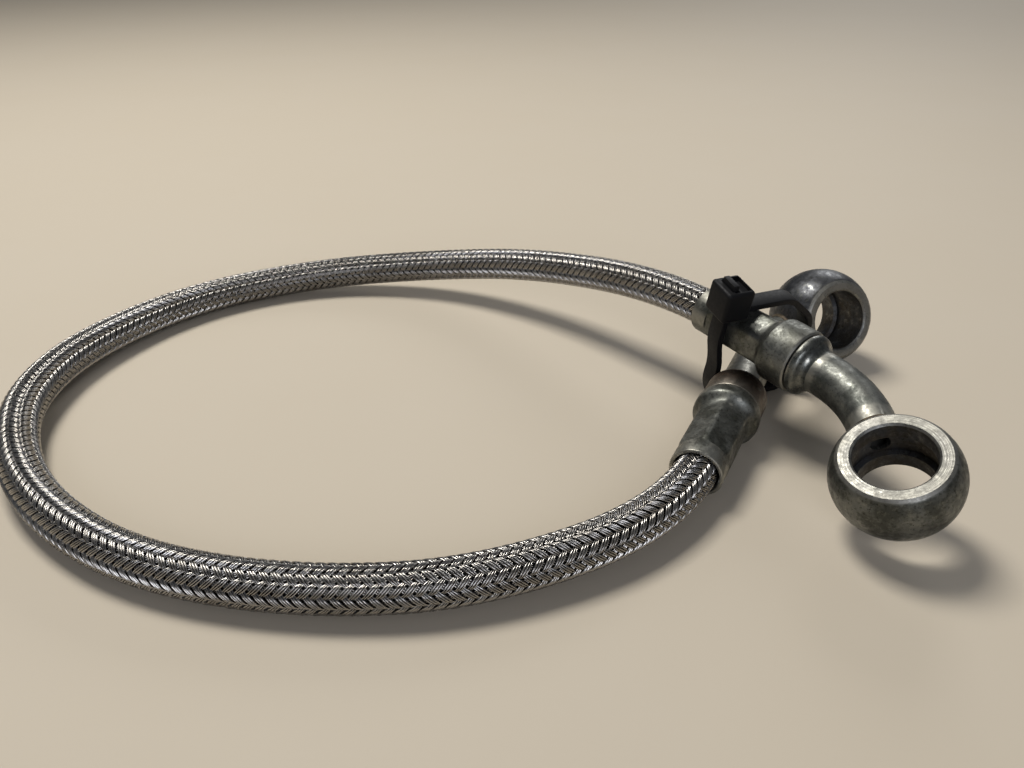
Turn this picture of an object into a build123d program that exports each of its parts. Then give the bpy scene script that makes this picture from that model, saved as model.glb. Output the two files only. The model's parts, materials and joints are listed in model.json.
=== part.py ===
"""Braided oil supply hose with a bent banjo union on each end.

The hose lies in one loop. Its two unions cross, the upper one over the pipe of the lower one, and a
loose cable tie goes round both. Union "a" is the lower one, with the ball-shaped eye. Union "b" is the
upper one, with the barrel-shaped eye. +Z is up, z = 0 is the surface that the part lies on, and the
origin is the middle of the space that the two unions and the tie stand in. Sizes are in millimetres.
"""
from build123d import *
from math import cos, pi, radians, sin, tan
import os

os.makedirs("parts", exist_ok=True)

# ---------------------------------------------------------------- driving dimensions

# Hose: a PTFE liner inside a stainless braid
liner_bore = 4.8
liner_wall = 0.6
braid_wall = 0.75

# Ferrule: a mouth lip, six crimped flats, a taper and an uncrimped back end, longer on union b
ferrule_length_a = 20.4
ferrule_length_b = 23.6
ferrule_od = 12.2
lip_od = 9.4
lip_length = 3.6
crimp_length = 12.2
crimp_across_flats = 8.8
crimp_corner_od = 9.8
taper_length = 2.3
back_flange = 1.8
edge_round = 0.5

# Hose insert: barbed tail, collar, shoulder and a spigot for the pipe. The shoulder is a long dome on
# union a and a short bell on union b.
insert_bore = 3.2
barb_pitch = 3.2
barb_depth = 0.25
collar_length = 2.6
collar_clearance = 0.05
lock_groove_od = 6.2
shoulder_gap = 0.35
shoulder_od = 11.6
shoulder_land_a = 4.7
shoulder_length_a = 7.6
shoulder_land_b = 0.5
shoulder_length_b = 3.0
spigot_length = 4.0

# Bent pipe between shoulder and eye
pipe_od = 8.0
pipe_wall = 1.4
pipe_bend_radius_a = 17.0
pipe_bend_radius_b = 22.0

# Banjo eyes, both for a 12 mm hollow screw
screw_bore = 12.2
bore_chamfer = 0.3
oil_groove_depth = 0.9
port_od = 3.2
socket_wall = 1.7
ball_od = 20.8
ball_width = 13.4
ball_oil_groove = 5.4
barrel_od = 20.0
barrel_face_od = 16.6
barrel_width = 10.5
barrel_oil_groove = 4.4

# Cable tie
strap_width = 3.6
strap_thickness = 1.2
head_length = 5.8
head_width = 6.2
head_height = 6.3
slot_clearance = 0.3
tie_clearance = 0.5
tail_stub = 1.0
loop_radius = 2.6

# Where the two unions lie: groove is the back face of the ferrule, corner is where the pipe's two
# straight lines meet, eye is the middle of the bore
groove_a = Vector(-11.76, -2.04, 6.26)
corner_a = Vector(1.65, 24.10, 7.55)
eye_a = Vector(14.65, 29.90, 10.40)
bore_lean_a = Vector(0.330, -0.888, 0.321)
groove_b = Vector(0.43, -2.30, 16.70)
corner_b = Vector(6.85, -11.55, 15.82)
eye_b = Vector(7.35, -29.50, 11.60)
bore_lean_b = Vector(-0.341, -0.271, 0.900)

# Free run of the hose, from union a to union b. The two points next to the ferrules stand on the
# ferrules' own lines, at mouth_run from their mouths.
mouth_run = 11.5
hose_points = [
    (-54.8, -44.7, 4.2),
    (-81.5, -46.5, 3.8),
    (-107.5, -41.0, 3.8),
    (-127.0, -28.5, 3.8),
    (-139.5, -13.5, 4.8),
    (-146.5, 5.0, 5.6),
    (-145.0, 28.0, 4.8),
    (-130.0, 54.5, 3.9),
    (-103.0, 69.0, 4.2),
    (-72.5, 68.5, 7.0),
    (-45.5, 54.5, 13.0),
]

# Cable tie's loop: where it crosses ferrule b, which way it faces, and how far its top leans forward
tie_from_groove = 14.2
tie_heading = 22.0
tie_lean = 12.0

# ---------------------------------------------------------------- sizes that follow

liner_od = liner_bore + 2 * liner_wall
hose_od = liner_od + 2 * braid_wall
pipe_id = pipe_od - 2 * pipe_wall
hose_end = back_flange + collar_length
seat_radius = screw_bore / 2 + socket_wall


class Union:
    """Where one union lies, and the planes that its pieces are drawn on."""

    def __init__(self, name, groove, corner, eye, bore_lean, ferrule_length, land, shoulder, bend):
        self.name = name
        self.ferrule_length = ferrule_length
        self.shoulder_land = land
        self.shoulder_end = shoulder_gap + shoulder
        self.bend_radius = bend
        self.groove = groove
        self.corner = corner
        self.eye = eye
        self.along = (corner - groove).normalized()
        self.side = Vector(0, 0, 1).cross(self.along).normalized()
        self.across = Plane(origin=groove, x_dir=self.side, z_dir=self.along)
        self.profile = Plane(origin=groove, x_dir=self.side, z_dir=self.side.cross(self.along))
        self.axis = Axis(groove, self.along)
        self.to_pipe = (corner - eye).normalized()
        square = bore_lean - self.to_pipe * bore_lean.dot(self.to_pipe)
        self.bore_dir = square.normalized()
        self.eye_profile = Plane(
            origin=eye, x_dir=self.to_pipe, z_dir=self.to_pipe.cross(self.bore_dir)
        )

    def on_axis(self, distance):
        """A point on the ferrule's line, measured from its back face towards the pipe."""
        return self.groove + self.along * distance


union_a = Union(
    "a", groove_a, corner_a, eye_a, bore_lean_a,
    ferrule_length_a, shoulder_land_a, shoulder_length_a, pipe_bend_radius_a,
)
union_b = Union(
    "b", groove_b, corner_b, eye_b, bore_lean_b,
    ferrule_length_b, shoulder_land_b, shoulder_length_b, pipe_bend_radius_b,
)

# ---------------------------------------------------------------- hose

route = [union_a.on_axis(-hose_end), union_a.on_axis(-ferrule_length_a - mouth_run)]
route += [Vector(*point) for point in hose_points]
route += [union_b.on_axis(-ferrule_length_b - mouth_run), union_b.on_axis(-hose_end)]


def arc_radii(points):
    """One radius for each corner: 0.45 of its shorter run over the tangent of half its turn."""
    radii = []
    for before, here, after in zip(points, points[1:], points[2:]):
        turn = (here - before).get_angle(after - here)
        run = min((here - before).length, (after - here).length)
        radii.append(0.45 * run / tan(radians(turn / 2)))
    return radii


hose_radii = arc_radii(route)


def make_tube(outer, inner):
    """A tube of the hose, along the whole route."""
    with BuildPart() as tube:
        with BuildLine() as line:
            FilletPolyline(*route, radius=hose_radii)
        with BuildSketch(Plane(origin=line.line @ 0, z_dir=line.line % 0)):
            Circle(outer / 2)
            Circle(inner / 2, mode=Mode.SUBTRACT)
        sweep(path=line.line)
    section = pi * (outer**2 - inner**2) / 4
    length = line.wire().length
    print(f"tube {outer:.2f}: length {length:.1f}, volume / (section x length) = "
          f"{tube.part.volume / (section * length):.4f}")
    return tube.part


hose_liner = make_tube(liner_od, liner_bore)
hose_braid = make_tube(hose_od, liner_od)
print("arc radii:", ", ".join(f"{radius:.1f}" for radius in hose_radii))

# ---------------------------------------------------------------- union pieces


def make_ferrule(union):
    """Steel collar pressed on the braid, open at the mouth, with a flange in the insert's groove."""
    socket = hose_od / 2
    ferrule_length = union.ferrule_length
    crimp_start = -ferrule_length + lip_length
    crimp_end = crimp_start + crimp_length
    outline = [
        (socket, -ferrule_length),
        (lip_od / 2, -ferrule_length),
        (lip_od / 2, crimp_start),
        (crimp_corner_od / 2, crimp_start),
        (crimp_corner_od / 2, crimp_end),
        (ferrule_od / 2, crimp_end + taper_length),
        (ferrule_od / 2, 0),
        (lock_groove_od / 2, 0),
        (lock_groove_od / 2, -back_flange),
        (socket, -back_flange),
    ]
    with BuildPart() as ferrule:
        with BuildSketch(union.profile):
            with BuildLine():
                Polyline(*outline, close=True)
            make_face()
            for corner in (outline[1], outline[5], outline[6]):
                fillet(vertices().sort_by_distance((*corner, 0))[0], edge_round)
        revolve(axis=union.axis)
        with BuildSketch(union.across.offset(crimp_start)):
            Circle(ferrule_od)
            RegularPolygon(crimp_across_flats / 2, 6, major_radius=False, rotation=30, mode=Mode.SUBTRACT)
        extrude(amount=crimp_length, mode=Mode.SUBTRACT)
    return ferrule.part


def make_insert(union):
    """Turned insert: barbed tail in the hose, collar, lock groove, shoulder and spigot."""
    tail = liner_bore / 2
    tail_start = -union.ferrule_length + edge_round
    shoulder_end = union.shoulder_end
    barbs = []
    for number in range(int((-hose_end - tail_start) / barb_pitch)):
        foot = tail_start + number * barb_pitch
        barbs += [(tail - barb_depth, foot), (tail, foot + 0.8 * barb_pitch)]
        barbs += [(tail - barb_depth, foot + 0.8 * barb_pitch)]
    collar = hose_od / 2 - collar_clearance
    pipe_edge = pipe_od / 2 + 0.2
    dome_start = (shoulder_od / 2, shoulder_gap + union.shoulder_land)
    dome_end = (pipe_edge, shoulder_end)
    dome_middle = (
        pipe_edge + 0.75 * (dome_start[0] - pipe_edge),
        dome_start[1] + 0.6 * (dome_end[1] - dome_start[1]),
    )
    with BuildPart() as insert:
        with BuildSketch(union.profile):
            with BuildLine():
                Polyline(
                    dome_end,
                    (pipe_id / 2, shoulder_end),
                    (pipe_id / 2, shoulder_end + spigot_length),
                    (insert_bore / 2, shoulder_end + spigot_length),
                    (insert_bore / 2, tail_start),
                    *barbs,
                    (tail - barb_depth, -hose_end),
                    (collar, -hose_end),
                    (collar, -back_flange),
                    (lock_groove_od / 2, -back_flange),
                    (lock_groove_od / 2, shoulder_gap),
                    (shoulder_od / 2, shoulder_gap),
                    dome_start,
                )
                ThreePointArc(dome_start, dome_middle, dome_end)
            make_face()
        revolve(axis=union.axis)
    return insert.part


def make_pipe(union):
    """Bent steel pipe, from the shoulder into the eye's socket."""
    with BuildPart() as pipe:
        with BuildLine() as line:
            FilletPolyline(
                union.on_axis(union.shoulder_end),
                union.corner,
                union.eye + union.to_pipe * seat_radius,
                radius=union.bend_radius,
            )
        with BuildSketch(Plane(origin=line.line @ 0, z_dir=line.line % 0)):
            Circle(pipe_od / 2)
            Circle(pipe_id / 2, mode=Mode.SUBTRACT)
        sweep(path=line.line)
    return pipe.part


def make_eye(union, outer, face, width, oil_groove):
    """Ring for the hollow screw, with an oil groove in its bore, and a socket and port for the pipe."""
    bore = screw_bore / 2
    half = width / 2
    lip = bore + bore_chamfer
    groove = bore + oil_groove_depth
    with BuildPart() as eye:
        with BuildSketch(union.eye_profile):
            with BuildLine():
                ThreePointArc((face / 2, -half), (outer / 2, 0), (face / 2, half))
                Polyline(
                    (face / 2, half),
                    (lip, half),
                    (bore, half - bore_chamfer),
                    (bore, oil_groove / 2),
                    (groove, oil_groove / 2),
                    (groove, -oil_groove / 2),
                    (bore, -oil_groove / 2),
                    (bore, bore_chamfer - half),
                    (lip, -half),
                    (face / 2, -half),
                )
            make_face()
        revolve(axis=Axis(union.eye, union.bore_dir))
        with BuildSketch(Plane(origin=union.eye, z_dir=union.to_pipe)):
            Circle(port_od / 2)
        extrude(amount=seat_radius, mode=Mode.SUBTRACT)
        with BuildSketch(Plane(origin=union.eye + union.to_pipe * seat_radius, z_dir=union.to_pipe)):
            Circle(pipe_od / 2)
        extrude(amount=outer / 2, mode=Mode.SUBTRACT)
    return eye.part


# A ball's face is where its flat sides cut the sphere
ball_face_od = (ball_od**2 - ball_width**2) ** 0.5

# ---------------------------------------------------------------- cable tie

lean_sin = sin(radians(tie_lean))
lean_cos = cos(radians(tie_lean))
heading = Vector(cos(radians(tie_heading)), sin(radians(tie_heading)), 0)
tie_up = Vector(0, 0, lean_cos) + heading.cross(Vector(0, 0, 1)) * lean_sin
tie_centre = union_b.on_axis(-tie_from_groove)
tie_plane = Plane(origin=tie_centre, x_dir=heading, z_dir=heading.cross(tie_up))


def make_tie():
    """Cable tie of one moulding: a head with its slot, the strap's loop and the trimmed tail."""
    ferrule_side = crimp_corner_od / 2 + tie_clearance + strap_thickness / 2
    edge_drop = strap_width / 2 * lean_sin
    floor = (strap_thickness / 2 + edge_drop + tie_clearance - tie_centre.Z) / lean_cos
    slot_at = -ferrule_side - 0.3
    head_centre = (slot_at + 0.8, crimp_corner_od / 2 + head_height / 2 - 0.1)
    head_top = head_centre[1] + head_height / 2
    strap_exit = (head_centre[0] + head_length / 2 - 0.6, 6.2)
    loop = [
        strap_exit,
        (8.0, ferrule_side + 0.2),
        (14.2, 1.0),
        (16.1, -10.0),
        (13.2, floor),
        (-2.6, floor),
        (-4.5, -12.5),
        (-4.5, -7.4),
        (slot_at, -1.0),
        (slot_at, head_top + tail_stub),
    ]
    slot = (strap_width + slot_clearance, strap_thickness + slot_clearance)
    with BuildPart() as tie:
        with BuildSketch(tie_plane.offset(-head_width / 2)):
            with Locations(head_centre):
                RectangleRounded(head_length, head_height, edge_round)
        extrude(amount=head_width)
        with BuildSketch(tie_plane.offset(-slot[0] / 2)):
            with Locations((slot_at, head_centre[1])):
                Rectangle(slot[1], 2 * head_height)
        extrude(amount=slot[0], mode=Mode.SUBTRACT)
        with BuildLine(tie_plane) as line:
            FilletPolyline(*loop, radius=loop_radius)
        start = Plane(origin=line.line @ 0, x_dir=tie_plane.z_dir, z_dir=line.line % 0)
        with BuildSketch(start):
            Rectangle(strap_width, strap_thickness)
        sweep(path=line.line)
        with BuildSketch(tie_plane.offset(-strap_width / 3)):
            with Locations((slot_at + slot[1] / 2, head_centre[1])):
                Rectangle(slot_clearance + 0.4, head_height / 3)
        extrude(amount=2 * strap_width / 3)
    return tie.part


# ---------------------------------------------------------------- all pieces

pieces = {"hose_liner": hose_liner, "hose_braid": hose_braid}
for union in (union_a, union_b):
    pipe = make_pipe(union)
    pieces[f"ferrule_{union.name}"] = make_ferrule(union)
    pieces[f"insert_{union.name}"] = make_insert(union) - pipe
    pieces[f"pipe_{union.name}"] = pipe
pieces["eye_a"] = make_eye(union_a, ball_od, ball_face_od, ball_width, ball_oil_groove)
pieces["eye_b"] = make_eye(union_b, barrel_od, barrel_face_od, barrel_width, barrel_oil_groove)
pieces["cable_tie"] = make_tie()

for name, piece in pieces.items():
    piece.label = name
    export_step(piece, f"parts/{name}.step")
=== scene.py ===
"""Looks for a steel-braided oil hose with a banjo union on each end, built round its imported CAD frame."""

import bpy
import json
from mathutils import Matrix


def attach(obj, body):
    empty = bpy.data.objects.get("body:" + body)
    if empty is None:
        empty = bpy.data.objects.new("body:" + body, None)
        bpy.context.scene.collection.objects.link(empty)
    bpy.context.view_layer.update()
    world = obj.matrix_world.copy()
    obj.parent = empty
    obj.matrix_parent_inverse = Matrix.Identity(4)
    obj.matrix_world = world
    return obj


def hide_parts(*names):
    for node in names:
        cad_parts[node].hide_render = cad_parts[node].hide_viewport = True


bl_info = {
    "name": "Braided Oil Hose",
    "version": (1, 0, 0),
    "blender": (4, 5, 0),
    "location": "View3D > Sidebar > Oil Hose",
    "description": "Weaves the hose's braid and details its unions and cable tie",
    "category": "Object",
}

import json
import math

import bpy
import numpy as np
from bpy.props import FloatProperty, FloatVectorProperty, IntProperty, PointerProperty
from mathutils import Matrix, Vector

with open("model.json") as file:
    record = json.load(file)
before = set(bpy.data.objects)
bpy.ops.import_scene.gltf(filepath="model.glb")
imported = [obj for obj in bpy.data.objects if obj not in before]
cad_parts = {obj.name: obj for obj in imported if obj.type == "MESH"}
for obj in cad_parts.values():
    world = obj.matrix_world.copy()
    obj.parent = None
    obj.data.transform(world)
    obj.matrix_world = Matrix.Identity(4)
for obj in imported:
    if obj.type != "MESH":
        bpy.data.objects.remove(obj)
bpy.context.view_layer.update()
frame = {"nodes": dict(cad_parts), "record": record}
MM = 0.001
BODY = "root"  # the frame's only body


def linear(code):
    """A linear RGBA colour from an sRGB hex code."""
    channels = [int(code[at:at + 2], 16) / 255 for at in (0, 2, 4)]
    return (*[c / 12.92 if c <= 0.04045 else ((c + 0.055) / 1.055) ** 2.4 for c in channels], 1.0)


# ------------------------------------------------------------------ sizes and colours a user may change


def size(name, description, default):
    """A length that a user may change, with its default in millimetres."""
    return FloatProperty(name=name, description=description, default=default * MM, unit="LENGTH", precision=5)


def paint(name, description, code):
    """A colour that a user may change, with its default as an sRGB hex code."""
    return FloatVectorProperty(
        name=name, description=description, default=linear(code), size=4, subtype="COLOR", min=0, max=1
    )


class HoseSizes(bpy.types.PropertyGroup):
    """The braid and the tube under it"""

    diameter: size("Outside diameter", "Across the finished braid", 7.5)
    # the core's near-black colour is painted shade, taken from the gap colour
    core: size("Core diameter", "Across the dark tube that shows between the wires", 5.6)
    lead: size("Lead", "Length of hose that a carrier takes to go once round", 21.0)
    wire: size("Wire", "Diameter of one wire of the braid", 0.35)
    crown: size("Crown", "How far a carrier rises over and dips under the others", 0.2)
    bow: size("Bow", "How far the outer wires of a carrier lie below its middle ones", 0.07)
    carriers: IntProperty(
        name="Carriers", description="Carriers in each direction", default=12, min=4, max=16
    )
    wires: IntProperty(
        name="Wires", description="Wires side by side in one carrier", default=3, min=2, max=8
    )
    steel: paint("Wire steel", "Drawn stainless wire", "A5A29E")
    # painted shade: near black, for the gaps between the wires and for the core under them
    gap: paint("Gap", "Shade between the wires", "0E0D0C")


class UnionSizes(bpy.types.PropertyGroup):
    """The pressed ferrule, the insert's shoulder and the eye's bore"""

    ferrule_od: size("Ferrule diameter", "Across the uncrimped back end", 12.2)
    lip_od: size("Lip diameter", "Across the round mouth", 9.4)
    lip: size("Lip length", "From the mouth to the crimped flats", 3.6)
    crimp: size("Crimp length", "Length of the pressed flats", 12.2)
    across_flats: size("Across flats", "Between two opposite crimped flats", 8.8)
    across_corners: size("Across corners", "Between two opposite crimped corners", 9.8)
    shoulder_od: size("Shoulder diameter", "Across the insert's shoulder", 11.6)
    pipe_od: size("Pipe diameter", "Outside of the bent pipe", 8.0)
    port: size("Port", "Diameter of the oil port in the eye", 3.2)
    zinc: paint("Zinc", "Aged zinc plate on the ferrules and pipes", "6F706B")
    scale: paint("Heat scale", "Oxide left by brazing on the lower shoulder", "40352D")
    gunmetal: paint("Gunmetal", "Dark plate on the ball-shaped eye", "515254")
    turned: paint("Turned steel", "Bare turned faces of the eyes", "7F7E7A")


class TieSizes(bpy.types.PropertyGroup):
    """The trimmed cable tie"""

    strap: size("Strap width", "Across the strap", 3.6)
    thickness: size("Strap thickness", "Through the strap", 1.2)
    head: size("Head width", "Across the head", 6.2)
    nylon: paint("Nylon", "Black nylon moulding", "0D0D0F")


class StageColours(bpy.types.PropertyGroup):
    """The floor and the light"""

    floor: paint("Floor", "Pale plain floor", "BDB2A0")
    sky: paint("Sky", "Soft light from all round", "D8DEE8")


# ------------------------------------------------------------------ places, read from the frame


class Union:
    """Where the frame has one end of the hose: the ferrule's line and the eye."""

    def __init__(self, letter):
        mounts = {mount["name"]: mount for mount in frame["record"]["mounts"]}
        bore = mounts[f"eye_{letter}_bore"]
        face = mounts["eye_a_front_face" if letter == "a" else "eye_b_top_face"]
        self.letter = letter
        self.eye = Vector(bore["pos_m"])
        self.bore_dir = Vector(bore["axis"]).normalized()
        to_face = Vector(face["pos_m"]) - self.eye
        self.half_width = to_face.dot(self.bore_dir)
        self.to_pipe = (self.bore_dir * self.half_width - to_face).normalized()
        middle, self.along = long_axis(frame["nodes"][f"ferrule_{letter}"])
        if self.along.dot(self.eye - middle) < 0:
            self.along = -self.along
        vertices = frame["nodes"][f"ferrule_{letter}"].data.vertices
        reach = [(vertex.co - middle).dot(self.along) for vertex in vertices]
        self.back = middle + self.along * max(reach)
        self.mouth = middle + self.along * min(reach)
        self.length = (self.back - self.mouth).length / MM
        side = Vector((0, 0, 1)).cross(self.along).normalized()
        self.on_ferrule = placing(self.back, self.along, side)
        self.on_eye = placing(self.eye, self.bore_dir, self.to_pipe)

    def on_axis(self, distance):
        """A point on the ferrule's line, in millimetres from its back face towards the pipe."""
        return self.back + self.along * distance * MM


def long_axis(solid):
    """The middle and the long axis of a turned CAD node, weighted by the area of its faces."""
    faces = solid.data.polygons
    areas = np.array([face.area for face in faces])
    centres = np.array([face.center for face in faces])
    middle = (centres * areas[:, None]).sum(0) / areas.sum()
    spread = ((centres - middle) * areas[:, None]).T @ (centres - middle)
    return Vector(middle), Vector(np.linalg.eigh(spread)[1][:, 2]).normalized()


def placing(origin, up, right):
    """The matrix that stands a piece modelled round Z at origin, with its Z along up and its X near right."""
    z = up.normalized()
    x = (right - z * right.dot(z)).normalized()
    turn = Matrix((x, z.cross(x), z)).transposed().to_4x4()
    return Matrix.Translation(origin) @ turn


union_a = Union("a")
union_b = Union("b")

# The hose's free run from union a to union b, in millimetres: the same route as the CAD tube's
ROUTE = [
    (-54.8, -44.7, 4.2),
    (-81.5, -46.5, 3.8),
    (-107.5, -41.0, 3.8),
    (-127.0, -28.5, 3.8),
    (-139.5, -13.5, 4.8),
    (-146.5, 5.0, 5.6),
    (-145.0, 28.0, 4.8),
    (-130.0, 54.5, 3.9),
    (-103.0, 69.0, 4.2),
    (-72.5, 68.5, 7.0),
    (-45.5, 54.5, 13.0),
]
MOUTH_RUN = 11.5  # straight run outside each ferrule's mouth
HOSE_INSIDE = 4.0  # how far the drawn hose goes into each ferrule

# ------------------------------------------------------------------ modelling by hand


def pick(*pieces):
    """Leaves only these objects selected, with the last one active."""
    bpy.ops.object.select_all(action="DESELECT")
    for piece in pieces:
        piece.select_set(True)
        bpy.context.view_layer.objects.active = piece


def apply_modifier(piece, kind, **settings):
    """Adds a modifier with its settings and applies it."""
    pick(piece)
    modifier = piece.modifiers.new(kind.title(), kind)
    for name, value in settings.items():
        setattr(modifier, name, value)
    bpy.ops.object.modifier_apply(modifier=modifier.name)


def bevelled(piece, width, angle=50, segments=2):
    """Rounds the edges that are sharper than angle."""
    apply_modifier(
        piece, "BEVEL", width=width * MM, segments=segments, limit_method="ANGLE",
        angle_limit=math.radians(angle), use_clamp_overlap=True, miter_outer="MITER_ARC",
    )


def settle(piece, place=Matrix.Identity(4), smooth_below=30):
    """Moves a piece modelled at the origin to its place, keeps its object at the origin and smooths it."""
    pick(piece)
    piece.matrix_world = place
    bpy.ops.object.transform_apply(location=True, rotation=True, scale=True)
    bpy.ops.object.shade_smooth_by_angle(angle=math.radians(smooth_below))


def turned(name, outline, steps=96):
    """Turns a closed outline of (radius, height) points, in millimetres, round the Z axis."""
    pick()
    bpy.ops.mesh.primitive_circle_add(vertices=len(outline), radius=MM)
    piece = bpy.context.object
    piece.name = piece.data.name = name
    for vertex, (radius, height) in zip(piece.data.vertices, outline):
        vertex.co = (radius * MM, 0, height * MM)
    bpy.ops.object.mode_set(mode="EDIT")
    bpy.ops.mesh.select_all(action="SELECT")
    bpy.ops.mesh.spin(steps=steps, angle=math.tau, center=(0, 0, 0), axis=(0, 0, 1))
    bpy.ops.mesh.select_all(action="SELECT")
    bpy.ops.mesh.remove_doubles(threshold=0.002 * MM)
    bpy.ops.mesh.normals_make_consistent(inside=False)
    bpy.ops.object.mode_set(mode="OBJECT")
    return piece


def carve(piece, tool):
    """Cuts the tool's shape out of the piece and removes the tool."""
    apply_modifier(piece, "BOOLEAN", operation="DIFFERENCE", object=tool, solver="EXACT")
    bpy.data.objects.remove(tool)


def drill(piece, radius, start, end):
    """Drills a round hole of that radius along X, from start to end, in millimetres."""
    pick()
    bpy.ops.mesh.primitive_cylinder_add(
        vertices=48, radius=radius * MM, depth=(end - start) * MM,
        location=((start + end) / 2 * MM, 0, 0), rotation=(0, math.pi / 2, 0),
    )
    carve(piece, bpy.context.object)


def block(name, middle, sides):
    """A block with those sides about a middle in the XY plane, all in millimetres."""
    pick()
    bpy.ops.mesh.primitive_cube_add(size=MM, location=(middle[0] * MM, middle[1] * MM, 0))
    piece = bpy.context.object
    piece.name = piece.data.name = name
    piece.scale = sides
    bpy.ops.object.transform_apply(location=True, rotation=False, scale=True)
    return piece


def arc(start, middle, end, count):
    """Points on the round stretch through three points, both ends included."""
    (ax, ay), (bx, by), (cx, cy) = start, middle, end
    d = 2 * (ax * (by - cy) + bx * (cy - ay) + cx * (ay - by))
    squares = [x * x + y * y for x, y in (start, middle, end)]
    ox = (squares[0] * (by - cy) + squares[1] * (cy - ay) + squares[2] * (ay - by)) / d
    oy = (squares[0] * (cx - bx) + squares[1] * (ax - cx) + squares[2] * (bx - ax)) / d
    first = math.atan2(ay - oy, ax - ox)
    last = math.atan2(cy - oy, cx - ox)
    sweep = (last - first + math.pi) % math.tau - math.pi
    radius = math.hypot(ax - ox, ay - oy)
    turns = [first + sweep * step / count for step in range(count + 1)]
    return [(ox + radius * math.cos(turn), oy + radius * math.sin(turn)) for turn in turns]


def finish_piece(piece, slot, material, *nodes):
    """Says what a finished piece rides on and which CAD nodes it stands for, and gives it its material; the
    slot is not used.
    """
    piece.data.materials.clear()
    piece.data.materials.append(material)
    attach(piece, BODY)
    if nodes:
        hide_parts(*nodes)


# ------------------------------------------------------------------ materials


def add(tree, kind, feeds=(), **settings):
    """Adds a shader node with its settings, and gives each named input a value or a link."""
    made = tree.nodes.new(f"ShaderNode{kind}")
    for name, value in settings.items():
        setattr(made, name, value)
    for name, value in dict(feeds).items():
        if isinstance(value, bpy.types.NodeSocket):
            tree.links.new(value, made.inputs[name])
        else:
            made.inputs[name].default_value = value
    return made


def overlay(tree, below, pattern, low, high, most, colour):
    """The colour below, going over to another by as much as most while a pattern rises from low to high."""
    feeds = {0: pattern, 1: low, 2: high, 3: 0.0, 4: most}
    amount = add(tree, "MapRange", feeds, interpolation_type="SMOOTHSTEP").outputs[0]
    return add(tree, "Mix", {0: amount, 6: below, 7: colour}, data_type="RGBA").outputs[2]


def vary_roughness(tree, surface, pattern, low, high, at_low, at_high):
    """Takes the surface's roughness from at_low to at_high while a pattern rises from low to high."""
    feeds = {0: pattern, 1: low, 2: high, 3: at_low, 4: at_high}
    varied = add(tree, "MapRange", feeds, interpolation_type="SMOOTHSTEP").outputs[0]
    tree.links.new(varied, surface.inputs["Roughness"])


def emboss(tree, surface, height, depth, strength):
    """Raises the surface by a pattern's height, up to a depth in millimetres."""
    feeds = {"Strength": strength, "Distance": depth * MM, "Height": height}
    tree.links.new(add(tree, "Bump", feeds).outputs[0], surface.inputs["Normal"])


def begin(name):
    """A new node material, its tree and its surface shader."""
    material = bpy.data.materials.new(name)
    material.use_nodes = True
    tree = material.node_tree
    return material, tree, tree.nodes["Principled BSDF"]


def mottle(tree, grain, detail=3.0, roughness=0.6):
    """A mottled pattern from 0 to 1 through the piece, in patches about grain millimetres across."""
    spot = add(tree, "TexCoord").outputs["Object"]
    feeds = {"Vector": spot, "Scale": 1 / (grain * MM), "Detail": detail, "Roughness": roughness}
    return add(tree, "TexNoise", feeds).outputs["Fac"]


def bright_wire(sizes):
    """Drawn stainless wire: bright silver ridges, with painted shade, near black, in the gaps between the
    wires.
    """
    material, tree, surface = begin("drawn_stainless_wire")
    across = add(tree, "SeparateXYZ", {0: add(tree, "UVMap", uv_map="weave").outputs[0]}).outputs[0]
    wires = add(tree, "Math", {0: across, 1: float(sizes.wires)}, operation="MULTIPLY").outputs[0]
    lane = add(tree, "Math", {0: wires}, operation="FRACT").outputs[0]
    from_middle = add(tree, "Math", {0: lane, 1: 0.5}, operation="SUBTRACT").outputs[0]
    off = add(tree, "Math", {0: from_middle}, operation="ABSOLUTE").outputs[0]
    stained = overlay(tree, tuple(sizes.steel), mottle(tree, 9.0), 0.45, 0.75, 0.45, linear("7C7468"))
    # painted shade: the gap colour darkens the edges of each wire's lane, where shade falls between the wires
    shaded = overlay(tree, stained, off, 0.3, 0.48, 1.0, tuple(sizes.gap))
    tree.links.new(shaded, surface.inputs["Base Color"])
    vary_roughness(tree, surface, mottle(tree, 2.0), 0.3, 0.7, 0.2, 0.3)
    surface.inputs["Metallic"].default_value = 1.0
    return material


def braid_shade(sizes):
    """Braid seen edge on under the top wires: dull steel, painted dark as its shade."""
    material, tree, surface = begin("painted_shade_stainless_core")
    # painted shade: the gap colour, near black, stands for the shaded wires and liner under the top wires
    shade = overlay(tree, tuple(sizes.gap), mottle(tree, 0.4), 0.45, 0.65, 1.0, linear("2B2925"))
    tree.links.new(shade, surface.inputs["Base Color"])
    surface.inputs["Roughness"].default_value = 0.8
    return material


def turned_rings(tree, place, fine):
    """A height pattern of the rings that a lathe tool leaves, 0.4 mm apart, with a little fine grain."""
    feeds = {0: add(tree, "TexCoord").outputs["Object"], 1: place.to_translation(), 2: place.to_euler()}
    local = add(tree, "Mapping", feeds, vector_type="TEXTURE").outputs[0]
    x, y, _ = add(tree, "SeparateXYZ", {0: local}).outputs
    away = add(tree, "CombineXYZ", {0: x, 1: y}).outputs[0]
    radius = add(tree, "VectorMath", {0: away}, operation="LENGTH").outputs["Value"]
    feeds = {"W": radius, "Scale": 1 / (0.4 * MM), "Detail": 2.0}
    rings = add(tree, "TexNoise", feeds, noise_dimensions="1D").outputs["Fac"]
    return add(tree, "Math", {0: fine, 1: 0.3, 2: rings}, operation="MULTIPLY_ADD").outputs[0]


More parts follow.
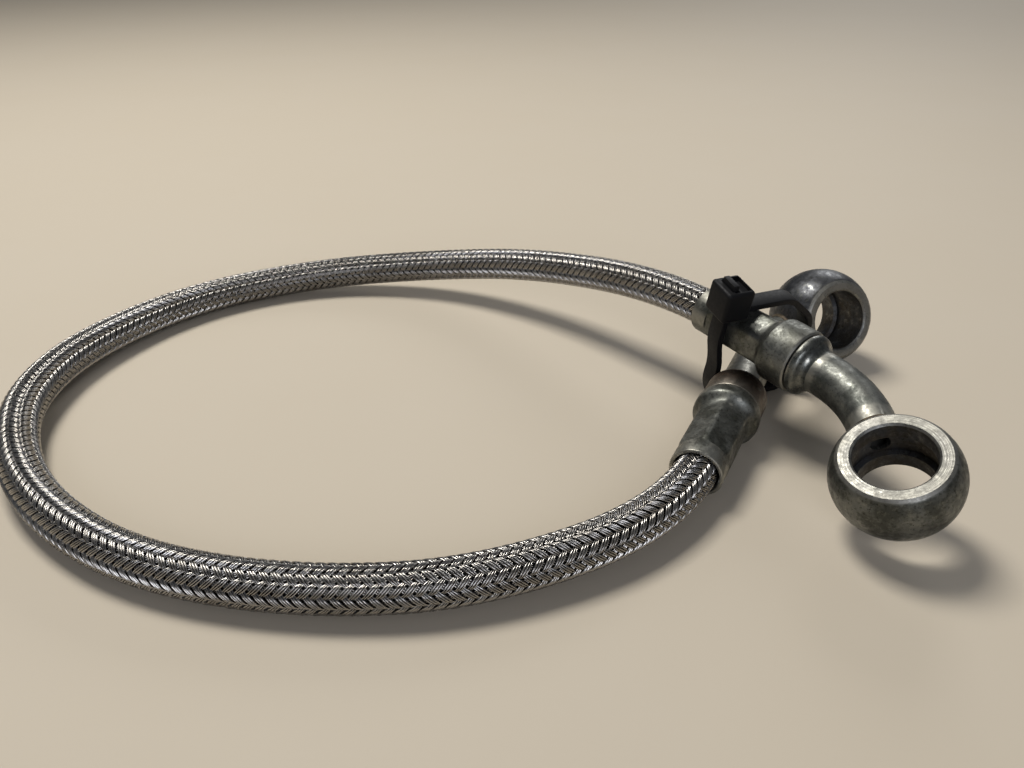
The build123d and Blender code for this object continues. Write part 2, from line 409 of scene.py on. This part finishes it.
def plated(name, colour, spots, rough, grain=0.5, bump=0.02, turned_round=None, wear_and_highlight=0.55):
    """Aged plate on steel: clouded, blotched and speckled, with its corners lighter by the share the last
    argument gives, partly edge wear and partly a painted highlight.

    Clouds are 4 mm wide and take the spots colour, and crystalline blotches of 1.1 mm look frosted. The
    grain, in millimetres, gives stray dark specks and a faint roughness, bump millimetres high.
    """
    material, tree, surface = begin(name)
    cloud = mottle(tree, 4.0, 5.0, 0.65)
    blotch = mottle(tree, 1.1, 4.0, 0.7)
    fine = mottle(tree, grain, 4.0, 0.75)
    corners = add(tree, "NewGeometry").outputs["Pointiness"]
    look = overlay(tree, tuple(colour), cloud, 0.38, 0.64, 1.0, linear(spots))
    look = overlay(tree, look, blotch, 0.52, 0.7, 0.28, linear("96968C"))
    look = overlay(tree, look, fine, 0.54, 0.68, 0.7, linear("24231F"))
    # convex corners painted lighter: partly edge wear, partly a painted highlight along the edges
    look = overlay(tree, look, corners, 0.51, 0.56, wear_and_highlight, linear("A9A69C"))
    tree.links.new(look, surface.inputs["Base Color"])
    vary_roughness(tree, surface, blotch, 0.35, 0.65, rough + 0.12, rough - 0.1)
    surface.inputs["Metallic"].default_value = 0.9
    height = turned_rings(tree, turned_round, fine) if turned_round else fine
    emboss(tree, surface, height, bump, 0.6)
    return material


def moulded_nylon(colour):
    """Injection-moulded black nylon: near black with a soft sheen and a faint moulding grain."""
    material, tree, surface = begin("moulded_black_nylon")
    grain = mottle(tree, 0.5, 4.0)
    shade = overlay(tree, tuple(colour), grain, 0.4, 0.75, 0.6, linear("141417"))
    tree.links.new(shade, surface.inputs["Base Color"])
    vary_roughness(tree, surface, grain, 0.3, 0.7, 0.48, 0.62)
    emboss(tree, surface, grain, 0.02, 0.4)
    surface.inputs["IOR"].default_value = 1.53
    surface.inputs["Specular IOR Level"].default_value = 0.16
    return material


def braze_metal():
    """Brass brazing filler: a dull yellow-brown bead under a film of scale."""
    material, tree, surface = begin("brazing_brass")
    dull = overlay(tree, linear("5E5444"), mottle(tree, 1.2, 4.0), 0.35, 0.65, 1.0, linear("3A332B"))
    tree.links.new(dull, surface.inputs["Base Color"])
    surface.inputs["Metallic"].default_value = 0.85
    surface.inputs["Roughness"].default_value = 0.55
    return material


# ------------------------------------------------------------------ hose


class Line:
    """A smooth line as arrays: distance along it, places and two directions square to it that don't twist."""

    def __init__(self, points, step):
        points = np.array(points)
        runs = np.linalg.norm(np.diff(points, axis=0), axis=1)
        points = points[np.concatenate(([True], runs > 1e-9))]
        reach = np.concatenate(([0], np.cumsum(np.linalg.norm(np.diff(points, axis=0), axis=1))))
        self.length = reach[-1]
        self.at = np.linspace(0, self.length, int(self.length / step) + 1)
        self.place = np.stack([np.interp(self.at, reach, points[:, k]) for k in range(3)], 1)
        tangent = np.gradient(self.place, axis=0)
        self.tangent = tangent / np.linalg.norm(tangent, axis=1)[:, None]
        normal = np.cross(self.tangent[0], (0, 0, 1))
        normals = [normal / np.linalg.norm(normal)]
        for t in self.tangent[1:]:
            flat = normals[-1] - t * normals[-1].dot(t)
            normals.append(flat / np.linalg.norm(flat))
        self.normal = np.array(normals)

    def frames(self, along):
        """Place and two square directions at each distance along the line."""
        def read(values):
            return np.stack([np.interp(along, self.at, values[:, k]) for k in range(3)], -1)

        tangent, normal = read(self.tangent), read(self.normal)
        normal /= np.linalg.norm(normal, axis=-1)[..., None]
        other = np.cross(tangent, normal)
        other /= np.linalg.norm(other, axis=-1)[..., None]
        return read(self.place), normal, other


def hose_curve():
    """The hose's line: one smooth spline on the frame's route, entering both ferrules on their own lines."""
    points = [union_a.on_axis(HOSE_INSIDE - union_a.length), union_a.on_axis(-union_a.length - MOUTH_RUN)]
    points += [Vector(point) * MM for point in ROUTE]
    points += [union_b.on_axis(-union_b.length - MOUTH_RUN), union_b.on_axis(HOSE_INSIDE - union_b.length)]
    curve = bpy.data.curves.new("hose_core", "CURVE")
    curve.dimensions = "3D"
    spline = curve.splines.new("NURBS")
    spline.points.add(len(points) - 1)
    for control, point in zip(spline.points, points):
        control.co = (*point, 1)
    spline.order_u = 3
    spline.use_endpoint_u = True
    curve.resolution_u = 32
    piece = bpy.data.objects.new("hose_core", curve)
    bpy.context.collection.objects.link(piece)
    return piece


def line_points(piece):
    """The points of a curve's own smooth line, read while it has no thickness."""
    bpy.context.view_layer.update()
    mesh = bpy.data.meshes.new_from_object(piece.evaluated_get(bpy.context.evaluated_depsgraph_get()))
    points = [tuple(vertex.co) for vertex in mesh.vertices]
    bpy.data.meshes.remove(mesh)
    return points


STEPS_PER_TURN = 64  # sections of a carrier in one turn round the hose
PINCH = 0.3  # how much narrower a carrier is where it dives under another
PLATEAU = 2.8  # how long a carrier stays up or down before it changes over
RIDGE = (-0.3, 0.8, 1.0, 0.8)  # section of one wire, from the gap beside it, in wire radii
UNDERSIDE = 0.46  # how far out the carrier's underside goes, as a share of its width


def woven_carrier(name, number, hand, line, sizes):
    """One flat carrier of side by side wires. It winds round the hose, over two carriers and under two.

    A real carrier has four or five wires of 0.25 mm. They are drawn coarser, as three of 0.35 mm, to show.
    """
    lead = sizes.lead
    floor_radius = sizes.diameter / 2 - sizes.crown - sizes.wire / 2
    slope = math.atan2(math.pi * 2 * floor_radius, lead)

    # section across the carrier: the tops of its wires, then two points on its underside
    lanes = len(RIDGE) * sizes.wires
    across = np.arange(lanes + 1) / lanes - 0.5
    ridges = np.array([RIDGE[k % len(RIDGE)] for k in range(lanes + 1)])
    lift = ridges * sizes.wire / 2 - sizes.bow * (2 * across) ** 2
    lift = np.concatenate((lift, [-sizes.wire / 2 - sizes.bow] * 2))
    offset = np.concatenate((across, [UNDERSIDE, -UNDERSIDE])) * sizes.wires * sizes.wire

    # path round the hose, with a wave that carries it over and under the other hand's carriers
    along = np.arange(0, line.length, lead / STEPS_PER_TURN)[:, None]
    rows = sizes.carriers / 2
    middle = math.tau * (number / sizes.carriers + hand * along / lead)
    pinch = 1 - PINCH * np.sin(rows * middle - math.pi / 4) ** 8
    shifted = np.clip(along - hand * offset * pinch * math.sin(slope), 0, line.length)
    angle = middle + offset * pinch * math.cos(slope) / floor_radius
    wave = np.tanh(PLATEAU * np.cos(rows * angle - math.pi / 4)) / math.tanh(PLATEAU)
    radius = floor_radius + hand * sizes.crown * wave + lift
    place, normal, other = line.frames(shifted)
    turn = np.broadcast_to(angle, shifted.shape)[..., None]
    points = place + radius[..., None] * (np.cos(turn) * normal + np.sin(turn) * other)

    count, ring = shifted.shape
    faces = []
    for row in range(count - 1):
        for k in range(ring):
            step = (k + 1) % ring
            quad = (row * ring + k, row * ring + step, (row + 1) * ring + step, (row + 1) * ring + k)
            faces.append(quad[::hand])
    faces += [tuple(range(ring))[::-hand], tuple(range((count - 1) * ring, count * ring))[::hand]]
    mesh = bpy.data.meshes.new(name)
    mesh.from_pydata(points.reshape(-1, 3).tolist(), [], faces)
    mesh.update()

    # lane 0 to 1 across the wires, and as many carrier widths along them
    weave = mesh.uv_layers.new(name="weave")
    corner = np.zeros(len(mesh.loops), np.int32)
    mesh.loops.foreach_get("vertex_index", corner)
    lane = np.concatenate((across + 0.5, [1.0, 0.0]))[corner % ring]
    run = (corner // ring) * (lead / STEPS_PER_TURN) / (sizes.wires * sizes.wire)
    weave.data.foreach_set("uv", np.stack((lane, run), 1).ravel())
    piece = bpy.data.objects.new(name, mesh)
    bpy.context.collection.objects.link(piece)
    settle(piece, smooth_below=60)
    return piece


class HOSE_OT_braid(bpy.types.Operator):
    """Lays the hose's core on its route and weaves the braid's carriers round it"""

    bl_idname = "oilhose.braid"
    bl_label = "Braided hose"

    def execute(self, context):
        sizes = context.scene.hose_sizes
        core = hose_curve()
        line = Line(line_points(core), 0.25 * MM)
        wire = bright_wire(sizes)
        for hand in (1, -1):
            for number in range(sizes.carriers):
                name = f"carrier_{'right' if hand == 1 else 'left'}_{number + 1:02d}"
                piece = woven_carrier(name, number, hand, line, sizes)
                finish_piece(piece, "stainless_braid", wire)
        core.data.bevel_depth = sizes.core / 2
        core.data.bevel_resolution = 6
        core.data.use_fill_caps = True
        # the core stands in for the braid's under wires and liner, painted near black as their shade
        finish_piece(core, "stainless_braid", braid_shade(sizes), "hose_braid", "hose_liner")
        return {"FINISHED"}


# ------------------------------------------------------------------ unions

SOFT_CORNER = 0.14 * MM  # how far the pressed corners are rounded off
RUN_OUT = 2.2 * MM  # how far the flats run into the taper
RUN_OUT_START = 0.9 * MM  # how far before the taper they begin to fade


def press_flats(piece, mouth, sizes):
    """Presses six flats with soft corners into a turned ferrule. They run out into its taper at the back."""
    start = mouth + sizes.lip
    end = start + sizes.crimp
    flat = sizes.across_flats / 2
    corner = sizes.across_corners / 2
    for vertex in piece.data.vertices:
        radius = math.hypot(vertex.co.x, vertex.co.y)
        if radius < sizes.lip_od / 2 - 0.05 * MM or not start < vertex.co.z < end + RUN_OUT:
            continue
        turn = math.atan2(vertex.co.y, vertex.co.x) % (math.pi / 3)
        pressed = flat / math.cos(min(turn, math.pi / 3 - turn))
        share = min(1.0, max(0.0, 0.5 + (corner - pressed) / SOFT_CORNER / 2))
        pressed = corner + (pressed - corner) * share - SOFT_CORNER * share * (1 - share)
        fade = min(1.0, max(0.0, (vertex.co.z - end + RUN_OUT_START) / (RUN_OUT + RUN_OUT_START)))
        fade = fade * fade * (3 - 2 * fade)
        target = min(radius, pressed + (radius - pressed) * fade)
        vertex.co.x *= target / radius
        vertex.co.y *= target / radius


class HOSE_OT_ferrules(bpy.types.Operator):
    """Turns a ferrule, presses its six flats and fits one on each end of the hose"""

    bl_idname = "oilhose.ferrules"
    bl_label = "Crimped ferrules"

    def execute(self, context):
        sizes = context.scene.union_sizes
        socket = context.scene.hose_sizes.diameter / 2 / MM + 0.12
        body, lip, corner = (d / 2 / MM for d in (sizes.ferrule_od, sizes.lip_od, sizes.across_corners))
        # dull grey zinc, dark in the stains and pale where it is frosted
        material = plated("aged_zinc_ferrule", sizes.zinc, "4B4C46", 0.44)
        for union in (union_a, union_b):
            mouth = -union.length
            start = mouth + sizes.lip / MM
            end = start + sizes.crimp / MM
            outline = [(socket, mouth + 0.5), (socket + 0.25, mouth), (lip - 0.3, mouth)]
            outline += [(lip - 0.08, mouth + 0.1), (lip, mouth + 0.35), (lip, start - 0.12)]
            outline += [(lip, start + 0.05), (lip + 0.02, start + 0.3), (corner, start + 0.9)]
            outline += [(corner, start + 0.9 + (end - start - 0.9) * k / 30) for k in range(1, 31)]
            for k in range(1, 17):  # the taper, 2.6 mm long, that rises smoothly to the back end
                rise = (1 - math.cos(math.pi * k / 16)) / 2
                outline.append((corner + (body - corner) * rise, end + 2.6 * k / 16))
            outline += [(body, -0.6), (body - 0.1, -0.25), (body - 0.4, 0)]
            outline += [(3.2, 0), (3.2, -1.8), (socket, -1.8)]
            piece = turned(f"ferrule_{union.letter}_crimped", outline, steps=144)
            press_flats(piece, mouth * MM, sizes)
            settle(piece, union.on_ferrule, 20)
            finish_piece(piece, "zinc_ferrule", material, f"ferrule_{union.letter}")
        return {"FINISHED"}


# The insert, in millimetres: radii of its bore, tail and barbs, and where its locking collar starts
BORE = 1.6
TAIL = 2.15
BARB = 2.4
BARB_PITCH = 3.2
COLLAR_FOOT = -4.4


class HOSE_OT_inserts(bpy.types.Operator):
    """Turns the barbed inserts with their domed shoulders"""

    bl_idname = "oilhose.inserts"
    bl_label = "Inserts"

    def execute(self, context):
        sizes = context.scene.union_sizes
        rim = sizes.shoulder_od / 2 / MM
        shoulders = {
            "a": arc((rim, 5.05), (5.4, 6.8), (4.2, 7.95), 12),
            "b": [
                *arc((rim, 0.8), (5.6, 1.55), (5.05, 2.05), 8),
                *arc((5.05, 2.05), (4.35, 2.75), (4.03, 3.8), 10)[1:],
            ],
        }
        # the lower shoulder is brown with brazing scale, the upper one is polished a little by handling
        looks = {
            "a": plated("heat_scaled_zinc", sizes.scale, "54453A", 0.42),
            "b": plated("aged_zinc_shoulder", sizes.zinc, "4A4C4A", 0.36),
        }
        for union in (union_a, union_b):
            shoulder = shoulders[union.letter]
            top = shoulder[-1][1]
            tail = 0.5 - union.length
            barbs = []
            for number in range(int((COLLAR_FOOT - tail) / BARB_PITCH)):
                foot = tail + number * BARB_PITCH
                barbs += [(TAIL, foot), (BARB, foot + 2.56), (TAIL, foot + 2.58)]
            outline = [(2.6, top), (2.6, top + 4), (BORE, top + 4), (BORE, tail), *barbs]
            outline += [(TAIL, COLLAR_FOOT), (3.7, COLLAR_FOOT), (3.7, -1.8), (3.1, -1.8)]
            outline += [(3.1, 0.35), (rim - 0.3, 0.35)]
            outline += [(rim - 0.08, 0.42), (rim, 0.6), *shoulder]
            piece = turned(f"insert_{union.letter}_turned", outline)
            settle(piece, union.on_ferrule, 32)
            finish_piece(piece, "zinc_insert", looks[union.letter], f"insert_{union.letter}")
        return {"FINISHED"}


def pipe_fillet(name, place, near, far, foot, top):
    """A bead of filler between the pipe and what it is brazed to: foot wide at near, top wide at far."""
    inside = 3.9  # just under the pipe's surface
    outline = [(inside, near), (inside, far), (top, far)]
    outline += arc((top, far), ((foot + 2 * top) / 3, (2 * near + far) / 3), (foot, near), 6)[1:]
    bead = turned(name, outline, steps=64)
    settle(bead, place, 40)
    return bead


class HOSE_OT_pipes(bpy.types.Operator):
    """Smooths the bent pipes and runs a bead of filler round their brazed ends"""

    bl_idname = "oilhose.pipes"
    bl_label = "Bent pipes"

    def execute(self, context):
        sizes = context.scene.union_sizes
        # zinc with a finer grain, so it looks smoother and more satin than the ferrules
        satin = plated("aged_zinc_pipe", sizes.zinc, "4D4F4B", 0.47, grain=0.35)
        braze = braze_metal()
        for union, surface in ((union_a, 9.55), (union_b, 9.0)):  # where each pipe meets its eye
            solid = frame["nodes"][f"pipe_{union.letter}"]
            piece = bpy.data.objects.new(f"pipe_{union.letter}_bent", solid.data.copy())
            bpy.context.collection.objects.link(piece)
            pick(piece)
            bpy.ops.object.mode_set(mode="EDIT")
            bpy.ops.mesh.select_all(action="SELECT")
            bpy.ops.mesh.remove_doubles(threshold=0.002 * MM)
            bpy.ops.object.mode_set(mode="OBJECT")
            settle(piece, smooth_below=40)
            finish_piece(piece, "zinc_pipe", satin, f"pipe_{union.letter}")
            outward = placing(union.eye, union.to_pipe, union.bore_dir)
            bead = pipe_fillet(
                f"braze_eye_{union.letter}", outward, surface - 0.3, surface + 0.6, 4.6, 4.06
            )
            finish_piece(bead, "zinc_insert", braze)
        bead = pipe_fillet("braze_shoulder_a", union_a.on_ferrule, 7.8, 8.4, 4.3, 4.04)
        finish_piece(bead, "zinc_insert", braze)
        return {"FINISHED"}


# The eyes, in millimetres
BARREL_FACE = 8.3  # radius of the barrel's flat face
GROOVE_DEPTH = 0.9  # depth of the oil groove in the bore
PIPE_SEAT = 7.8  # from the eye's middle to the foot of the pipe's socket


class HOSE_OT_eyes(bpy.types.Operator):
    """Turns both eyes, cuts their oil grooves and drills the port and the pipe's socket"""

    bl_idname = "oilhose.eyes"
    bl_label = "Banjo eyes"

    def execute(self, context):
        sizes = context.scene.union_sizes
        # slot, outer radius, groove width and look: a dark, smooth ball and a mottled grey barrel
        shapes = (
            (union_a, "dark_eye", 10.4, 5.4, plated(
                "gunmetal_plate", sizes.gunmetal, "3C3D40", 0.38, turned_round=union_a.on_eye)),
            (union_b, "turned_eye", 10.0, 4.4, plated(
                "mottled_zinc_barrel", sizes.zinc, "454641", 0.44, turned_round=union_b.on_eye)),
        )
        for union, slot, outer, groove, material in shapes:
            half = union.half_width / MM
            bore = frame_bore(union)
            rim = math.sqrt(outer**2 - half**2) if union is union_a else BARREL_FACE
            side = arc((rim, -half), (outer, 0), (rim, half), 28)
            outline = [(rim - 0.25, -half), *side[1:-1], (rim - 0.25, half)]
            hole = [(bore + 0.35, half), (bore, half - 0.35), (bore, groove / 2)]
            hole.append((bore + GROOVE_DEPTH, groove / 2 - 0.1))
            outline += hole + [(radius, -height) for radius, height in reversed(hole)]
            piece = turned(f"eye_{union.letter}_turned", outline, steps=128)
            drill(piece, sizes.port / 2 / MM, 0, PIPE_SEAT + 0.4)
            drill(piece, sizes.pipe_od / 2 / MM + 0.02, PIPE_SEAT, 14)
            bevelled(piece, 0.12, angle=40)
            settle(piece, union.on_eye, 30)
            apply_modifier(piece, "WEIGHTED_NORMAL", keep_sharp=True, weight=100)
            finish_piece(piece, slot, material, f"eye_{union.letter}")
            paint_faces_and_bore(piece, union, bore, sizes)
        return {"FINISHED"}


def paint_faces_and_bore(piece, union, bore, sizes):
    """Bare turned steel, with its tool rings, on the eye's flat faces, and dark, dull plate in its bore."""
    piece.data.materials.append(plated(
        f"turned_steel_face_{union.letter}", sizes.turned, "6C6B66", 0.46, bump=0.05,
        turned_round=union.on_eye))
    piece.data.materials.append(plated(
        f"dark_bore_{union.letter}", sizes.gunmetal, "4C4740", 0.5, wear_and_highlight=0.0))
    for face in piece.data.polygons:
        away = face.center - union.eye
        depth = away.dot(union.bore_dir)
        reach = (away - union.bore_dir * depth).length
        facing = abs(face.normal.dot(union.bore_dir))
        if reach < (bore + GROOVE_DEPTH + 0.05) * MM and abs(depth) < union.half_width - 0.3 * MM:
            face.material_index = 2
        elif facing > 0.6 and abs(depth) > union.half_width - 0.5 * MM:
            face.material_index = 1


def frame_bore(union):
    """The bore's radius in millimetres, as the record's mount has it."""
    bores = [m for m in frame["record"]["mounts"] if m["name"] == f"eye_{union.letter}_bore"]
    return bores[0]["dims"]["r_mm"]


# ------------------------------------------------------------------ cable tie

# The tie, in millimetres, and the way it stands
TIE_FROM_BACK = 14.2  # from union b's back face
TIE_CLEARANCE = 0.5  # between the strap and the ferrule or the floor
HEAD_DEEP = 5.8
HEAD_TALL = 6.3
TAIL_STUB = 1.0  # what is left of the trimmed end above the head
TIE_HEADING = math.radians(22)
TIE_LEAN = math.radians(12)


def tie_placing():
    """Where the tie stands: its loop is drawn in X and Y, with X across and Y up, and Z across the strap."""
    across = Vector((math.cos(TIE_HEADING), math.sin(TIE_HEADING), 0))
    lean = across.cross(Vector((0, 0, 1))) * math.sin(TIE_LEAN)
    up = Vector((0, 0, math.cos(TIE_LEAN))) + lean
    return placing(union_b.on_axis(-TIE_FROM_BACK), across.cross(up), across)


class HOSE_OT_cable_tie(bpy.types.Operator):
    """Bends the tie's strap round both unions and moulds its head, pawl and trimmed tail"""

    bl_idname = "oilhose.cable_tie"
    bl_label = "Cable tie"

    def execute(self, context):
        sizes = context.scene.tie_sizes
        strap, thick, head = sizes.strap / MM, sizes.thickness / MM, sizes.head / MM
        ferrule = context.scene.union_sizes.across_corners / 2 / MM
        place = tie_placing()
        side = ferrule + TIE_CLEARANCE + thick / 2
        drop = strap / 2 * math.sin(TIE_LEAN)
        floor = (thick / 2 + drop + TIE_CLEARANCE - place.translation.z / MM) / math.cos(TIE_LEAN)
        slot = -side - 0.3
        centre = (slot + 0.8, ferrule + HEAD_TALL / 2 - 0.1)
        head_top = centre[1] + HEAD_TALL / 2
        nylon = moulded_nylon(sizes.nylon)

        loop = [(centre[0] + 2.3, 6.2), (8.0, side + 0.2), (14.2, 1.0), (16.1, -10.0), (13.2, floor)]
        loop += [(-2.6, floor), (-4.5, -12.5), (-4.5, -7.4), (slot, -1.0), (slot, head_top + TAIL_STUB)]
        band = strap_along(loop, strap, thick)
        settle(band, place, 32)
        finish_piece(band, "black_nylon", nylon)

        tie_head = block("cable_tie_head", centre, (HEAD_DEEP, HEAD_TALL, head))
        bevelled(tie_head, 0.7, segments=4)
        carve(tie_head, block("slot", (slot + 0.35, centre[1]), (thick + 1.1, 8.0, strap + 0.4)))
        carve(tie_head, block("recess", (centre[0] + 0.55, head_top), (3.6, 1.6, head - 1.5)))
        settle(tie_head, place, 32)
        finish_piece(tie_head, "black_nylon", nylon, "cable_tie")

        pawl_spot = (slot + thick / 2 + 0.55, centre[1] + 0.2)
        pawl = block("cable_tie_pawl", pawl_spot, (0.9, 3.4, strap - 0.5))
        bevelled(pawl, 0.15)
        settle(pawl, place, 32)
        finish_piece(pawl, "black_nylon", nylon)
        return {"FINISHED"}


def strap_along(loop, width, thick):
    """A strap that follows an open line of (x, y) points with rounded corners, all in millimetres."""
    pick()
    bpy.ops.mesh.primitive_circle_add(vertices=len(loop), radius=MM)
    band = bpy.context.object
    band.name = band.data.name = "cable_tie_strap"
    for vertex, (x, y) in zip(band.data.vertices, loop):
        vertex.co = (x * MM, y * MM, -width / 2 * MM)
    bpy.ops.object.mode_set(mode="EDIT")
    bpy.ops.mesh.select_mode(type="EDGE")
    bpy.ops.mesh.select_all(action="DESELECT")
    bpy.ops.object.mode_set(mode="OBJECT")
    for edge in band.data.edges:  # the circle is opened between its last point and its first
        edge.select = set(edge.vertices) == {0, len(loop) - 1}
    bpy.ops.object.mode_set(mode="EDIT")
    bpy.ops.mesh.delete(type="EDGE")
    bpy.ops.mesh.select_mode(type="VERT")
    bpy.ops.mesh.select_all(action="SELECT")
    bpy.ops.mesh.bevel(offset=1.7 * MM, affect="VERTICES", segments=8, clamp_overlap=True)
    bpy.ops.mesh.select_all(action="SELECT")
    bpy.ops.mesh.extrude_region_move(TRANSFORM_OT_translate={"value": (0, 0, width * MM)})
    bpy.ops.mesh.select_all(action="SELECT")
    bpy.ops.mesh.normals_make_consistent(inside=False)
    bpy.ops.object.mode_set(mode="OBJECT")
    apply_modifier(band, "SOLIDIFY", thickness=thick * MM, offset=0, use_even_offset=True)
    bevelled(band, 0.18)
    return band


# ------------------------------------------------------------------ stage

CAMERA_SPOT = Vector((-51.95, -133.10, 88.45)) * MM
CAMERA_PITCH = math.radians(30.196)  # how far it looks down
CAMERA_LENS = 29.1796875  # focal length on a sensor 36 mm wide
AIM = Vector((-0.05, 0, 0))  # where every light points, near the middle of the hose


class HOSE_OT_stage(bpy.types.Operator):
    """Lays a pale floor and sets the camera and soft studio lights"""

    bl_idname = "oilhose.stage"
    bl_label = "Floor, camera and lights"

    def execute(self, context):
        colours = context.scene.stage_colours
        pick()
        bpy.ops.mesh.primitive_plane_add(size=60, location=(0, 0, 0))
        floor = context.object
        floor.name = "floor"
        material, tree, surface = begin("pale_plain_floor")
        shade = overlay(tree, tuple(colours.floor), mottle(tree, 60.0), 0.3, 0.7, 0.25, linear("BFB5A5"))
        tree.links.new(shade, surface.inputs["Base Color"])
        surface.inputs["Roughness"].default_value = 0.75
        floor.data.materials.append(material)

        data = bpy.data.cameras.new("camera")
        data.sensor_width = 36
        data.lens = CAMERA_LENS
        data.clip_start = 0.01
        camera = bpy.data.objects.new("camera", data)
        camera.location = CAMERA_SPOT
        camera.rotation_euler = (math.pi / 2 - CAMERA_PITCH, 0, 0)
        context.collection.objects.link(camera)
        context.scene.camera = camera

        lights = (  # name, place, width, watts and tint
            ("window", (-0.30, 0.26, 0.74), 0.28, 6.2, "FFFCF6"),
            ("room", (0.02, -0.85, 0.42), 0.45, 3.0, "EFF3FF"),
            ("back", (0.70, 1.60, 0.90), 0.60, 7.0, "FFFFFF"),
        )
        for name, spot, width, power, tint in lights:
            data = bpy.data.lights.new(name, "AREA")
            data.size = width
            data.energy = power
            data.color = linear(tint)[:3]
            light = bpy.data.objects.new(name, data)
            light.location = spot
            light.rotation_euler = (AIM - Vector(spot)).to_track_quat("-Z", "Y").to_euler()
            context.collection.objects.link(light)

        world = bpy.data.worlds.new("soft_room")
        world.use_nodes = True
        sky = world.node_tree.nodes["Background"]
        sky.inputs["Color"].default_value = tuple(colours.sky)
        sky.inputs["Strength"].default_value = 0.16
        context.scene.world = world
        context.scene.view_settings.view_transform = "Standard"
        return {"FINISHED"}


# ------------------------------------------------------------------ add-on


OPERATORS = (
    HOSE_OT_stage,
    HOSE_OT_braid,
    HOSE_OT_ferrules,
    HOSE_OT_inserts,
    HOSE_OT_pipes,
    HOSE_OT_eyes,
    HOSE_OT_cable_tie,
)
GROUPS = {
    "hose_sizes": HoseSizes,
    "union_sizes": UnionSizes,
    "tie_sizes": TieSizes,
    "stage_colours": StageColours,
}


class HOSE_PT_panel(bpy.types.Panel):
    """Lists the hose's operators and their sizes"""

    bl_label = "Oil Hose"
    bl_idname = "HOSE_PT_panel"
    bl_space_type = "VIEW_3D"
    bl_region_type = "UI"
    bl_category = "Oil Hose"

    def draw(self, context):
        for operator in OPERATORS:
            self.layout.operator(operator.bl_idname)
        for name in GROUPS:
            group = getattr(context.scene, name)
            box = self.layout.box()
            for prop in group.bl_rna.properties:
                if prop.identifier not in ("rna_type", "name"):
                    box.prop(group, prop.identifier)


def register():
    for kind in (*GROUPS.values(), *OPERATORS, HOSE_PT_panel):
        bpy.utils.register_class(kind)
    for name, group in GROUPS.items():
        setattr(bpy.types.Scene, name, PointerProperty(type=group))


def unregister():
    for name in GROUPS:
        delattr(bpy.types.Scene, name)
    for kind in (HOSE_PT_panel, *reversed(OPERATORS), *reversed(list(GROUPS.values()))):
        bpy.utils.unregister_class(kind)


def main():
    """Builds the hose."""
    register()
    for operator in OPERATORS:
        group, name = operator.bl_idname.split(".")
        getattr(getattr(bpy.ops, group), name)()


if __name__ == "__main__":
    main()
